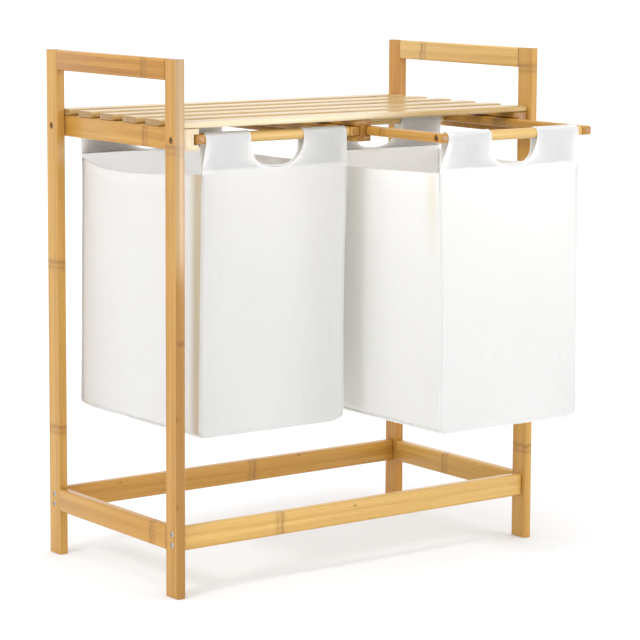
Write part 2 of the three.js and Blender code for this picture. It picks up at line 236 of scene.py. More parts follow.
def mesh_of(name, points, faces, finish):
    """A smooth piece from its points and faces, which keeps its sharp edges."""
    mesh = bpy.data.meshes.new(name)
    mesh.from_pydata(points.reshape(-1, 3), [], faces)
    mesh.materials.append(finish)
    mesh.shade_smooth()
    mesh.set_sharp_from_angle(angle=SHARP)
    piece = bpy.data.objects.new(name, mesh)
    scene.collection.objects.link(piece)
    return piece


def ring_faces(rings, around):
    """Quads between neighbouring rings of points, with the first and the last ring closed."""
    start = (np.arange(rings - 1) * around)[:, None] + np.arange(around)[None]
    across = (np.arange(rings - 1) * around)[:, None] + np.roll(np.arange(around), -1)[None]
    quads = np.stack([start, across, across + around, start + around], -1).reshape(-1, 4)
    caps = [list(range(around))[::-1], list(range((rings - 1) * around, rings * around))]
    return quads.tolist() + caps


def eased(low, high, easing, steps):
    """Stations along a bar and how far the outline is set in at each: a quarter round at both ends."""
    angle = np.linspace(0, math.pi / 2, steps + 1)
    rise, inset = easing * (1 - np.cos(angle)), easing * (1 - np.sin(angle))
    stations = np.concatenate([low + rise, (high - rise)[::-1]])
    return stations, np.concatenate([inset, inset[::-1]])


def bar(node, along, radii, easing, finish, corners=None, steps=5, end_steps=3):
    """A straight bar where a node of the frame is: its section's outline carried along an axis."""
    low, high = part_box(node)
    side, up = (along + 1) % 3, (along + 2) % 3
    if corners is None:
        left, right, bottom, top = low[side], high[side], low[up], high[up]
        corners = [(left, bottom), (right, bottom), (right, top), (left, top)]
    centre, normal, radius = rounded(corners, radii, steps)
    stations, inset = eased(low[along], high[along], easing, end_steps)
    section = centre[None] + (radius[None] - inset[:, None])[..., None] * normal[None]
    points = np.empty((len(stations), len(centre), 3))
    points[..., along] = stations[:, None]
    points[..., side] = section[..., 0]
    points[..., up] = section[..., 1]
    return mesh_of(f"{node}_finished", points, ring_faces(len(stations), len(centre)), finish)


def turned(name, profile, start, direction, finish, around=40, shape=None):
    """A turned piece along X: a ring for each row of the profile, which gives its distance behind the
    face at start and its radius. With a shape, a row's third number is the share that the radius takes
    of the recess's outline, which shape gives for each angle."""
    angle = np.linspace(0, 2 * math.pi, around, endpoint=False)
    profile = np.array(profile, float)
    radius = np.repeat(profile[:, 1:2], around, 1)
    if shape is not None:
        recess = profile[:, 2:3]
        radius = radius * (1 - recess) + recess * shape(angle)[None]
    points = np.empty((len(profile), around, 3))
    points[..., 0] = start[0] - direction * profile[:, :1]
    points[..., 1] = start[1] + radius * np.cos(angle)
    points[..., 2] = start[2] + radius * np.sin(angle) * -direction
    return mesh_of(name, points, ring_faces(len(profile), around), finish)


def bored(piece, bores, finish):
    """Cuts round bores into a piece. Each is (mouth, direction, ((depth, radius), ...))."""
    for mouth, direction, steps in bores:
        cutter = turned("cutter", steps, mouth, direction, finish, 32)
        cut = piece.modifiers.new("bore", "BOOLEAN")
        cut.object = cutter
        cut.solver = "EXACT"
        seen = piece.evaluated_get(bpy.context.evaluated_depsgraph_get())
        mesh = bpy.data.meshes.new_from_object(seen)
        piece.modifiers.clear()
        old, piece.data = piece.data, mesh
        bpy.data.meshes.remove(old)
        bpy.data.objects.remove(cutter)
        mesh.set_sharp_from_angle(angle=SHARP)


def bore_for(screw_node, face, outwards, steps):
    """The bore that a screw sits in: its mouth is on the outer face, in line with the screw."""
    low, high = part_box(screw_node)
    middle = (low + high) / 2
    return (face, middle.y, middle.z), outwards, steps


def fitted(piece, body, slot, *nodes):
    """Makes a piece ride on a body and stand for its CAD nodes. slot is not used."""
    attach(piece, body)
    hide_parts(*nodes)


def counterbore(radius, depth, far_end):
    """The steps of a bore: wide down to a depth for the head, then narrow for the shank."""
    return (-0.001, radius), (depth, radius), (depth, SHANK_BORE), (far_end, SHANK_BORE)


LEG_EDGE = 0.004
LEG_INNER_EDGE = 0.0015
END_EASE = 0.0008
SHANK_BORE = 0.00235
CAP_BORE = counterbore(0.0042, 0.0027, 0.0444)
SHELF_BORE = counterbore(0.0049, 0.0044, 0.02)
LEG_BORES = (("lower_stretcher", CAP_BORE), ("upper_stretcher", CAP_BORE), ("shelf", SHELF_BORE))
# The cream of painted highlights on faces that look forwards.
GLARE_CREAM = (0.81, 0.71, 0.51, 1)
# Marks mixed into the wood's colour: (amount, colour, ((axis, start, stop), ...)). The left front leg's
# front face is browner below, and greyer above as a painted highlight.
LOWER_FRONT = (0.47, BAND_COLOUR, ((1, -0.0885, -0.0897), (2, 0.5, 0.42)))
UPPER_FRONT_GLARE = (0.5, (0.42, 0.34, 0.25, 1), ((1, -0.0885, -0.0897), (2, 0.42, 0.5)))
LOWER_HALF = (0.05, BAND_COLOUR, ((2, 0.434, 0.432),))
leg_looks = {
    "left_front_leg": {
        "bands": (0.6215,),
        "knots": ((0.128, -0.0905), (0.251, -0.0905), (0.355, -0.093)),
        "stains": (LOWER_FRONT, UPPER_FRONT_GLARE),
    },
    "left_rear_leg": {"bands": (0.19, 0.433), "depth": 0.9, "stains": (LOWER_HALF,)},
    "right_front_leg": {"bands": (0.141, 0.43, 0.714), "depth": 0.9},
    "right_rear_leg": {"bands": (0.232, 0.506), "depth": 1.15},
}
for number, (node, look) in enumerate(leg_looks.items()):
    wood = bamboo(node, 2, 1, seed=number * 3.7, **look)
    radii = (LEG_EDGE, LEG_EDGE, LEG_INNER_EDGE, LEG_INNER_EDGE)
    leg = bar(node, 2, radii if "front" in node else radii[::-1], END_EASE, wood)
    low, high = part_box(node)
    face, outwards = (low.x, -1) if node.startswith("left") else (high.x, 1)
    place = node.replace("leg", "")
    bores = [bore_for(f"{place}{name}_screw", face, outwards, steps) for name, steps in LEG_BORES]
    bored(leg, bores, wood)
    fitted(leg, "rack", "bamboo", node)


# Side rails of the two side frames: a handle rail at the top and a bottom rail near the floor, flush
# between the legs. Each end is glued to its leg round a wooden pin that is hidden in the joint.
SIDE_RAIL_EDGE = 0.0025
for node, bands, depth in (
    ("left_handle_rail", (-0.0055,), 1.16),
    ("right_handle_rail", (0.168,), 0.68),
    ("left_bottom_rail", (-0.0235,), 1.0),
    ("right_bottom_rail", (0.104,), 0.9),
):
    wood = bamboo(node, 1, 2, bands, depth, seed=len(node) * 1.3)
    fitted(bar(node, 1, SIDE_RAIL_EDGE, END_EASE, wood), "rack", "bamboo", node)

pin_wood = bamboo("pins", 1, 2)
for node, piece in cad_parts.items():
    if node.endswith("_pin"):
        piece.data.materials.clear()
        piece.data.materials.append(pin_wood)


# Stretchers: two bars that join the side frames near the floor, 14 by 33 mm with rounded edges.
# A pair of screws through each leg holds each end.
STRETCHER_EDGE = 0.003
for node, bands, depth, knots in (
    ("front_stretcher", (-0.138,), 0.75, ((-0.0096, 0.0905),)),
    ("rear_stretcher", (0.034,), 1.0, ((-0.2102, 0.0925), (0.1185, 0.0955))),
):
    wood = bamboo(node, 0, 2, bands, depth, seed=len(node) * 2.1, knots=knots)
    fitted(bar(node, 0, STRETCHER_EDGE, END_EASE, wood), "rack", "bamboo", node)


# Screws of the stretchers: eight zinc-plated cap screws with a hexagonal recess. Their heads are turned,
# chamfered and sunk just below the leg's face.
def plated(name, colour, roughness):
    """Plated steel: a metal whose sheen is broken by fine scratches and a slight mottle."""
    material, shader, wire = new_material(name)
    place = wire.node("ShaderNodeTexCoord", {}, {}, "Object")
    mottle = place.grain((420.0, 420.0, 420.0), 3.0)
    scratches = place.grain((900.0, 5200.0, 900.0), 1.0)
    dark = tuple(0.62 * part for part in colour[:3]) + (1,)
    mottle.fade(0.3, 0.7).mixed(dark, colour).link(shader, "Base Color")
    (scratches * 0.2 + (roughness - 0.1)).link(shader, "Roughness")
    set_inputs(shader, {"Metallic": 1.0})
    return material


def hexagon(across):
    """A hexagon as a radius for each angle: half its width over the cosine of the angle to a flat."""
    return lambda angle: across / 2 / np.cos((angle % (math.pi / 3)) - math.pi / 6)


SHANK = 0.002
TIP = 0.003


def screw_profile(head, high, chamfer, recess, deep, long):
    """(distance behind the face, radius, share of the recess's outline) from the tip to the recess."""
    return (
        (high + long, 0.0001, 0),
        (high + long - TIP, SHANK, 0),
        (high, SHANK, 0),
        (high, head, 0),
        (chamfer, head, 0),
        (chamfer * 0.3, head - chamfer * 0.3, 0),
        (0, head - chamfer, 0),
        (0, recess, 1),
        (deep, recess, 1),
        (deep * 1.15, 0.0001, 0),
    )


def screw(node, side, body, slot, profile, finish, shape):
    """A screw in the place of its node, with its head towards the left or right side."""
    low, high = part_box(node)
    middle = (low + high) / 2
    face, outwards = (low.x, -1) if side == "left" else (high.x, 1)
    piece = turned(f"{node}_finished", profile, (face, middle.y, middle.z), outwards, finish, 48, shape)
    fitted(piece, body, slot, node)


zinc = plated("zinc_plate", (0.72, 0.73, 0.75, 1), 0.34)
CAP_SCREW = screw_profile(head=0.00385, high=0.002, chamfer=0.0005, recess=0.002, deep=0.0015, long=0.04)
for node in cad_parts:
    if node.endswith("stretcher_screw"):
        screw(node, node.split("_")[0], "rack", "zinc", CAP_SCREW, zinc, hexagon(0.004))


# Grooved rails under the shelf: a C-shaped rail of bamboo along each side frame and an I-shaped runner in
# the middle, which also carries the slats. The arms of the bins run in their grooves.
RAIL_EDGE = 0.0012
RAIL_END = 0.0006
FLANGE = 0.008
# A painted highlight in cream on the front end of the left grooved rail.
RAIL_END_GLARE = (0.8, GLARE_CREAM, ((1, -0.0845, -0.0857),))


def groove_corners(node, sides):
    """The section's corners as (Z, X), anticlockwise. A groove is as deep as the flanges over and under
    it are thick."""
    low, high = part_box(node)
    left, right = low.x, high.x
    floor_z, roof_z = low.z + FLANGE, high.z - FLANGE
    corners = [(low.z, left)]
    if "left" in sides:
        corners += [(floor_z, left), (floor_z, left + FLANGE), (roof_z, left + FLANGE), (roof_z, left)]
    corners += [(high.z, left), (high.z, right)]
    if "right" in sides:
        corners += [(roof_z, right), (roof_z, right - FLANGE), (floor_z, right - FLANGE), (floor_z, right)]
    return corners + [(low.z, right)]


for node, sides, bands, ends, stains in (
    ("left_grooved_rail", ("right",), (0.0135,), 0.1, (RAIL_END_GLARE,)),
    ("right_grooved_rail", ("left",), (0.152,), 0.6, ()),
    ("centre_runner", ("left", "right"), (0.09,), 0.6, ()),
):
    wood = bamboo(node, 1, 2, bands, seed=len(node) * 1.9, stains=stains, ends=ends)
    corners = groove_corners(node, sides)
    fitted(bar(node, 1, RAIL_EDGE, RAIL_END, wood, corners, 3, 2), "rack", "bamboo", node)


# Screws of the shelf: four bronze-coloured screws with a cross recess, one through each leg into the
# grooved rail behind it. They sit a little deeper than the zinc ones.
def cross(long, wide):
    """A cross as a radius for each angle: the farther edge of two crossed slots."""
    def outline(angle):
        cosine, sine = np.abs(np.cos(angle)) + 1e-9, np.abs(np.sin(angle)) + 1e-9
        level = np.minimum(long / 2 / cosine, wide / 2 / sine)
        upright = np.minimum(wide / 2 / cosine, long / 2 / sine)
        return np.maximum(level, upright)
    return outline


bronze = plated("bronze_plate", (0.42, 0.31, 0.2, 1), 0.42)
cross_recess = cross(0.005, 0.0012)
SHELF_SCREW = screw_profile(head=0.0043, high=0.0026, chamfer=0.0008, recess=0.0025, deep=0.0016, long=0.0215)
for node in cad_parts:
    if node.endswith("shelf_screw"):
        screw(node, node.split("_")[0], "rack", "bronze", SHELF_SCREW, bronze, cross_recess)


# Shelf slats: six thin boards, 35 by 9 mm, laid across the rails and glued. They are paler than the
# frame, and their gloss lacquer mirrors the legs at a low angle.
SLAT_EDGE = 0.0033
PALE = ((0.455, 0.28, 0.091), (0.64, 0.465, 0.215))
# A painted highlight in cream on the front slat's front face, fading out towards the right.
SLAT_FRONT_GLARE = (0.8, GLARE_CREAM, ((1, -0.0825, -0.0845), (0, 0.12, -0.02)))
for number, (bands, stains) in enumerate((
    ((), (SLAT_FRONT_GLARE,)),
    ((0.02,), ()),
    ((-0.12, 0.21), ()),
    ((0.16,), ()),
    ((-0.2,), ()),
    ((0.25,), ()),
), 1):
    node = f"slat_{number}"
    wood = bamboo(node, 0, 1, bands, tones=PALE, roughness=0.3, seed=number * 5.3, stains=stains,
                  ends=0.55, nodes=0.55)
    fitted(bar(node, 0, SLAT_EDGE, END_EASE, wood), "rack", "pale_bamboo", node)


# Arms of the bins: bamboo bars of 15 by 13 mm with rounded ends that run in the grooves. A counterbore
# near each end takes the screw that goes into the dowel.
ARM_EDGE = 0.003
ARM_END = 0.0034
ARM_BORE = counterbore(0.0047, 0.0055, 0.025)
for body in ("left_bin", "right_bin"):
    for side, outwards in (("left", -1), ("right", 1)):
        node = f"{body}_{side}_arm"
        low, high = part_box(node)
        face = low.x if outwards < 0 else high.x
        middle = (low.y + high.y) / 2
        wood = bamboo(node, 1, 2, (middle + 0.03 * outwards,), seed=len(node) + 2.0 * outwards)
        arm = bar(node, 1, ARM_EDGE, ARM_END, wood)
        screws = (f"{body}_front_{side}_arm_screw", f"{body}_rear_{side}_arm_screw")
        bored(arm, [bore_for(name, face, outwards, ARM_BORE) for name in screws], wood)
        fitted(arm, body, "bamboo", node)


# Dowels and arm screws: a 15 mm round bamboo dowel near each end of a bin's arms carries the bag. A
# bronze-coloured screw through the arm holds each end of it.
DOWEL_ROUND = 0.00749  # a hair less than its radius
ARM_SCREW = screw_profile(head=0.0042, high=0.0026, chamfer=0.0007, recess=0.0025, deep=0.0016, long=0.032)
for body in ("left_bin", "right_bin"):
    for end in ("front", "rear"):
        node = f"{body}_{end}_dowel"
        low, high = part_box(node)
        wood = bamboo(node, 0, 2, ((low.x + high.x) / 2 - 0.075,), 0.62, seed=len(node) * 0.7, strip=0.05)
        fitted(bar(node, 0, DOWEL_ROUND, END_EASE, wood, None, 10), body, "bamboo", node)
        for side in ("left", "right"):
            node = f"{body}_{end}_{side}_arm_screw"
            screw(node, side, body, "bronze", ARM_SCREW, bronze, cross_recess)


# Bags: each is sewn from a long strip of off-white canvas, which makes the front, bottom and rear, and
# two side panels. The strip's ends are folded over the dowels into tunnels with a half-moon grip cut
# through both layers. The seams stand outwards as narrow flanges, and the cloth hangs slack.
CLOTH = 0.0009  # thickness of one layer
LAYERS_APART = 1.3 * CLOTH  # of a flap and the wall
SEAM_APART = 1.15 * CLOTH  # of a side panel and the strip
LOOP = 0.0083  # radius of a tunnel's cloth round the dowel
QUARTER = LOOP * math.pi / 2  # cloth over a quarter of the dowel
HELD = QUARTER + 0.006  # cloth that doesn't move while the rest hangs
FLAP = 0.046  # hem flap of a tunnel, sewn on behind it
TUNNEL_HALF = 0.119  # half the strip's width at a tunnel
WALL = 0.156  # half the bag's depth
CORNER = 0.005  # radius between a wall and the bottom
HEM_DROP = 0.05  # from the dowels' axis down to the side hems
SIDE_HEM = 0.02
TUNNEL_HEM = 0.008  # hem beside a tunnel
GRIP_HEM = 0.004  # hem round a grip
FLAP_ROW, HEM_ROW, GRIP_ROW = 0.005, 0.006, 0.0035  # distances of the stitches from those edges
SEAM_WIDTH = 0.0028  # flange outside a seam, as it stands
SEAM_FLAT = 0.004  # and as it was cut
TUCKED = 0.6  # the share of it that is turned in under the bag
ROUND = 0.012  # radius of the two long lower edges
PANEL_WIDTH = 0.31  # of a side panel
# Pleats get painted tan shade, full from this depth on.
PLEAT_SHADE_FULL = 0.0026  # depth from which a pleat is as tan as it gets
WAVE_ACROSS, WAVE_DOWN, WAVE_DEEP = 31, 17, 0.0018  # of the slack walls
FREE_OVER = 0.08  # the run below a dowel over which the cloth comes free of it
LEVEL_HALF = 0.16  # half the run that is the bottom
SLACK = 0.005  # the farthest that the hanging moves a point
FRAMES = 26  # how long the cloth hangs
CANVAS_FEEL = {
    "quality": 7, "mass": 0.12, "tension_stiffness": 80, "compression_stiffness": 80, "shear_stiffness": 30,
    "bending_stiffness": 12, "tension_damping": 12, "compression_damping": 12, "shear_damping": 12,
    "bending_damping": 2, "air_damping": 4, "pin_stiffness": 1, "shrink_min": -0.003,
}
CELL = 0.0085  # mesh of the cloth while it hangs
FINER = 3  # steps of the finished mesh in each of those
GRIP_DROP = 0.044  # height of a grip below the dowel
GRIP_POWER = 2.6  # how square its outline is
THREAD = 0.0012
STITCH = 0.0034
# Where the tunnels begin, their painted light fades in.
DOUBLE = (0.5205, 0.5225)  # distances along the strip from its middle between which a tunnel begins
OVER_POINTS, WALL_POINTS, BEND_POINTS, LEVEL_POINTS = 25, 159, 12, 39  # of the stretches of bag_path

MIDDLE = {}
for body in ("left_bin", "right_bin"):
    low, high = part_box(f"{body}_front_dowel")
    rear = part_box(f"{body}_rear_dowel")[1].y
    MIDDLE[body] = np.array([(low.x + high.x) / 2, (low.y + rear) / 2, 0])
AXIS_Z = (low.z + high.z) / 2
REACH = (rear - low.y) / 2 - LOOP + 0.0008  # from the bag's middle to a dowel's axis
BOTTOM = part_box("left_bin_canvas_bag")[0].z + 0.003


def canvas(name):
    """Plain-woven cotton canvas: threads as crossed waves of the flat cloth's UV, slubs along both
    threads, and rows of stitches beside the hems with painted shade in their holes. Painted light makes
    the double tunnels brighter, and painted tan shade lies in the pleats and along the strip's seams."""
    material, shader, wire = new_material(name)
    flat = wire.node("ShaderNodeUVMap", {"uv_map": "flat"}, {})
    across, along = wire.node("ShaderNodeSeparateXYZ", {}, {0: flat}, ("X", "Y"))
    stitch = wire.node("ShaderNodeUVMap", {"uv_map": "stitch"}, {})
    off_row, on_row = wire.node("ShaderNodeSeparateXYZ", {}, {0: stitch}, ("X", "Y"))
    turns = 2 * math.pi
    weave = (across * (turns / THREAD)).math("SINE") * (along * (turns / THREAD)).math("SINE")
    slubs = flat.grain((60.0, 1500.0, 1.0), 2.0) + flat.grain((1500.0, 60.0, 1.0), 2.0)
    cloudy = flat.grain((14.0, 9.0, 1.0), 3.0)
    dash = (on_row * (turns / STITCH)).math("SINE")
    row = off_row.size().fade(0.0009, 0.0004)
    thread = row * dash.fade(-0.5, 0.1)
    tone = slubs * 0.32 + cloudy * 0.36
    colour = tone.mixed((0.936, 0.938, 0.89, 1), (0.961, 0.963, 0.921, 1))
    # Painted light: the double cloth of the tunnels is painted brighter and warmer.
    colour = (along.size().fade(*DOUBLE) * 0.9).mixed(colour, (0.992, 0.991, 0.935, 1))
    # Painted shade in the holes between the stitches.
    stitch_hole_shade = row * (1 - dash.fade(-0.9, -0.4)) * 0.2
    colour = stitch_hole_shade.mixed(colour, (0.55, 0.53, 0.47, 1))
    # Painted shade: tan where the pleat attribute is high, in the pleats and along the strip's seams.
    pleat = wire.node("ShaderNodeAttribute", {"attribute_name": "pleat"}, {}, "Fac")
    colour = (pleat * 0.75).mixed(colour, (0.65, 0.5, 0.29, 1))
    colour.link(shader, "Base Color")
    set_inputs(shader, {
        "Roughness": 0.92, "Sheen Weight": 0.08, "Subsurface Weight": 1.0,
        "Subsurface Radius": (1.0, 1.0, 1.0), "Subsurface Scale": 0.006,
    })
    height = weave * 0.1 + slubs * 0.12 + thread * 0.5 - row * 0.3
    bump = {"Height": height, "Strength": 0.4, "Distance": 0.0004}
    wire.node("ShaderNodeBump", {}, bump).link(shader, "Normal")
    return material


def bag_path():
    """Half of the strip's run in the (out, up) plane, from the top of the dowel to the middle of the
    bottom: a quarter circle round the dowel, a drop that eases back to the wall, a round corner and
    a level bottom. Gives its points and their distances along the cloth."""
    angle = np.linspace(math.pi / 2, 0, OVER_POINTS)
    over = np.stack([REACH + LOOP * np.cos(angle), AXIS_Z + LOOP * np.sin(angle)], 1)
    up = np.linspace(AXIS_Z, BOTTOM + CORNER, WALL_POINTS + 1)[1:]
    out = WALL + (REACH + LOOP - WALL) * np.exp(-(((AXIS_Z - up) / 0.03) ** 2))
    angle = np.linspace(0, -math.pi / 2, BEND_POINTS + 1)[1:]
    bend = np.stack([WALL + CORNER * (np.cos(angle) - 1), BOTTOM + CORNER * (1 + np.sin(angle))], 1)
    inwards = np.linspace(WALL - CORNER, 0, LEVEL_POINTS + 1)[1:]
    level = np.stack([inwards, np.full_like(inwards, BOTTOM)], 1)
    points = np.concatenate([over, np.stack([out, up], 1), bend, level])
    steps = np.linalg.norm(np.diff(points, axis=0), axis=1)
    return points, np.concatenate([[0], np.cumsum(steps)])


PATH, DISTANCE = bag_path()
HALF_RUN = DISTANCE[-1]
HEM_AT = DISTANCE[np.argmin(np.abs(PATH[:, 1] - (AXIS_Z - HEM_DROP)))]
FOLD_AT = DISTANCE[OVER_POINTS + WALL_POINTS + BEND_POINTS // 2]


def bag_rows():
    """Distances of the strip's rows from the top of the front dowel to the top of the rear one, in even
    steps of about CELL down to the side hem, down the wall and over half the bottom, then mirrored.
    Gives them and how many steps each of the three takes."""
    marks = np.array([0, HEM_AT, FOLD_AT, HALF_RUN])
    counts = np.round(np.diff(marks) / CELL).astype(int)
    pieces = [np.linspace(a, b, n + 1)[:-1] for a, b, n in zip(marks[:-1], marks[1:], counts)]
    rows = np.concatenate(pieces + [marks[-1:]])
    return np.concatenate([rows, (2 * HALF_RUN - rows)[::-1][1:]]), counts


ROWS, (ABOVE, HIGH, HALF_WIDE) = bag_rows()
NEAR = np.minimum(ROWS, 2 * HALF_RUN - ROWS)
WIDE = 2 * HALF_WIDE


def refined(grid, axis):
    """A Catmull-Rom curve through a grid's points along one axis, with FINER steps between points."""
    count = grid.shape[axis]
    at = np.arange((count - 1) * FINER + 1) / FINER
    before = np.minimum(at.astype(int), count - 2)
    t = (at - before).reshape([-1 if k == axis else 1 for k in range(grid.ndim)])
    near = [np.take(grid, np.clip(before + k, 0, count - 1), axis) for k in (-1, 0, 1, 2)]
    weights = (-t / 2 + t**2 - t**3 / 2, 1 - 2.5 * t**2 + 1.5 * t**3,
               t / 2 + 2 * t**2 - 1.5 * t**3, -(t**2) / 2 + t**3 / 2)
    return sum(weight * points for weight, points in zip(weights, near))


def grid_quads(indices):
    """The quads of a grid of vertex numbers."""
    corners = (indices[:-1, :-1], indices[:-1, 1:], indices[1:, 1:], indices[1:, :-1])
    return np.stack(corners, -1).reshape(-1, 4)


def normals(grid):
    """Outward unit normals of a grid whose rows run from the front over the bottom to the rear: minus
    the cross product of a step across and a step along."""
    normal = np.cross(np.gradient(grid, axis=1), np.gradient(grid, axis=0))
    return -normal / np.linalg.norm(normal, axis=2)[..., None]


def strip_shape(look):
    """The strip row by row, with a flange outside each seam. Its width grows from the tunnel to the side
    hem as a smooth step, its middle leans sideways, and its walls stand out by crown * (1 - (x / half
    the width)^2) and a product of sines. Gives its points, the share of half the width of each column
    and half the width of each row."""
    seam = look["half"] - SEAM_WIDTH
    between = np.linspace(-1, 1, 2 * round(seam / CELL) + 1) * seam / look["half"]
    share = np.concatenate([[-1], between, [1]])
    widen = np.clip((NEAR - QUARTER) / (HEM_AT - QUARTER), 0, 1)
    width = TUNNEL_HALF + (look["half"] - TUNNEL_HALF) * widen * widen * (3 - 2 * widen)
    lean = np.interp(NEAR, (QUARTER, HEM_AT, (HEM_AT + FOLD_AT) / 2, FOLD_AT), look["lean"])
    out = np.interp(NEAR, DISTANCE, PATH[:, 0]) * np.where(ROWS < HALF_RUN, -1, 1)
    strip = np.empty((len(ROWS), len(share), 3))
    strip[..., 0] = share[None] * width[:, None] + lean[:, None]
    strip[..., 1] = out[:, None]
    strip[..., 2] = np.interp(NEAR, DISTANCE, PATH[:, 1])[:, None]
    below = NEAR > FOLD_AT - 0.002
    for edge, inner in ((0, 1), (-1, -2)):
        strip[below, edge, 0] += TUCKED * (strip[below, inner, 0] - strip[below, edge, 0])
    free = np.clip((NEAR - QUARTER) / FREE_OVER, 0, 1)[:, None]
    wave = np.sin(strip[..., 0] * WAVE_ACROSS + look["phase"])
    wave = wave * np.sin(strip[..., 2] * WAVE_DOWN + 2 * look["phase"])
    crown = 1 - (strip[..., 0] / look["half"]) ** 2
    upright = (NEAR < HALF_RUN - LEVEL_HALF)[:, None]
    strip[..., 1] += np.sign(out)[:, None] * free * (WAVE_DEEP * wave + look["crown"] * crown) * upright
    return strip, share, width


def seam_runs(grid, column, finer=1):
    """The three runs of a column of the strip that a side panel is sewn to: the front from the side hem
    down, the bottom from front to rear, and the rear from the side hem down."""
    tall, broad = HIGH * finer, WIDE * finer
    run = grid[ABOVE * finer:ABOVE * finer + 2 * tall + broad + 1, column]
    return run[:tall + 1], run[tall:tall + broad + 1], run[tall + broad:][::-1]


def fold(u, v, at, deep, spread, low, tall):
    """A pleat down a side panel: its depth fades across it as exp(-(distance / spread)^2) and along it
    as exp(-((v - low) / tall)^2), and it ends at the seams."""
    ridge = np.exp(-(((u - at) * PANEL_WIDTH / spread) ** 2))
    return deep * ridge * np.exp(-(((v - low) / tall) ** 2)) * np.sin(math.pi * u) ** 0.3


def panel_shape(strip, column, side, look):
    """A side panel as the surface that blends its edges: the hem, straight between the tops of the two
    upright seams, and the bottom seam, plus the two upright seams, less the surface through the four
    corners. It bulges outwards as a product of sines, less its pleats, and its hem sags."""
    front, base, rear = seam_runs(strip, column)
    u = np.linspace(0, 1, WIDE + 1)[None, :, None]
    v = np.linspace(0, 1, HIGH + 1)[:, None, None]
    top = front[0] + (rear[0] - front[0]) * u[0]
    panel = (1 - v) * top[None] + v * base[None] + (1 - u) * front[:, None] + u * rear[:, None]
    through = (1 - u) * (1 - v) * front[0] + u * (1 - v) * rear[0]
    panel -= through + (1 - u) * v * base[0] + u * v * base[-1]
    u, v = u[..., 0], v[..., 0]
    bulge = look[side] * (np.sin(math.pi * u) ** 0.8 * np.sin(math.pi * (0.12 + 0.88 * v)) ** 0.8)
    for values in look[f"{side}_folds"]:
        bulge = bulge - fold(u, v, *values)
    panel[..., 0] += bulge * (-1 if side == "left" else 1)
    panel[..., 2] -= look[f"{side}_hem"] * (np.sin(math.pi * u**1.7) ** 0.7 * (1 - v) ** 6)
    return panel


def settled(points, quads, held):
    """The cloth after it has hung, held where it goes round the dowels. How far a point has moved is
    eased to SLACK at most: SLACK * tanh(distance / SLACK)."""
    mesh = bpy.data.meshes.new("hanging")
    mesh.from_pydata(points, [], quads.tolist())
    cloth = bpy.data.objects.new("hanging", mesh)
    scene.collection.objects.link(cloth)
    group = cloth.vertex_groups.new(name="held")
    group.add(held.tolist(), 1.0, "REPLACE")
    hanging = cloth.modifiers.new("cloth", "CLOTH")
    for setting, value in CANVAS_FEEL.items():
        setattr(hanging.settings, setting, value)
    hanging.settings.vertex_group_mass = "held"
    hanging.settings.effector_weights.gravity = 0.06
    hanging.collision_settings.use_collision = False
    hanging.collision_settings.use_self_collision = False
    hanging.point_cache.frame_start = 1
    hanging.point_cache.frame_end = FRAMES
    for number in range(1, FRAMES + 1):
        scene.frame_set(number)
    seen = cloth.evaluated_get(bpy.context.evaluated_depsgraph_get())
    result = np.empty(len(points) * 3)
    seen.data.vertices.foreach_get("co", result)
    bpy.data.objects.remove(cloth)
    scene.frame_set(1)
    moved = result.reshape(-1, 3) - points
    distance = np.linalg.norm(moved, axis=1)[:, None] + 1e-9
    return points + moved / distance * SLACK * np.tanh(distance / SLACK)


def rounded_below(points, look):
    """The cloth with its two long lower edges rounded: in the corner, a point that is p out and q down
    moves to max(p, q) / hypot(p, q) of both, which turns the square into a quarter disc."""
    centre = look["lean"][3]
    out = np.abs(points[..., 0] - centre) - (look["half"] - SEAM_WIDTH - ROUND)
    down = BOTTOM + ROUND - points[..., 2]
    share = np.maximum(out, down) / np.maximum(np.hypot(out, down), 1e-9)
    share = np.where((out > 0) & (down > 0), share, 1)
    points[..., 0] -= np.sign(points[..., 0] - centre) * out * (1 - share)
    points[..., 2] += down * (1 - share)
    return points


def sewn_sheet(name, points, flat, stitch, quads, thick, pleat, finish):
    """A sheet of cloth from its points, flat UV in metres, stitch UV and faces; thick names the points
    in a hem, where it is 1.3 layers thick, and pleat gives each point's share of painted tan shade."""
    used, quads = np.unique(quads, return_inverse=True)
    quads = quads.reshape(-1, 4)
    mesh = bpy.data.meshes.new(name)
    mesh.from_pydata(points[used], [], quads.tolist())
    corners = quads.reshape(-1)
    for layer, values in (("flat", flat), ("stitch", stitch)):
        uv = mesh.uv_layers.new(name=layer)
        uv.data.foreach_set("uv", values[used][corners].astype(np.float32).reshape(-1))
    mesh.attributes.new("pleat", "FLOAT", "POINT").data.foreach_set("value", pleat[used].astype(np.float32))
    mesh.materials.append(finish)
    mesh.shade_smooth()
    piece = bpy.data.objects.new(name, mesh)
    scene.collection.objects.link(piece)
    group = piece.vertex_groups.new(name="hem")
    group.add(np.flatnonzero(thick[used]).tolist(), 1.0, "REPLACE")
    wall = piece.modifiers.new("cloth", "SOLIDIFY")
    wall.thickness = 1.3 * CLOTH
    wall.offset = 0
    wall.vertex_group = "hem"
    wall.thickness_vertex_group = 0.77
    return piece


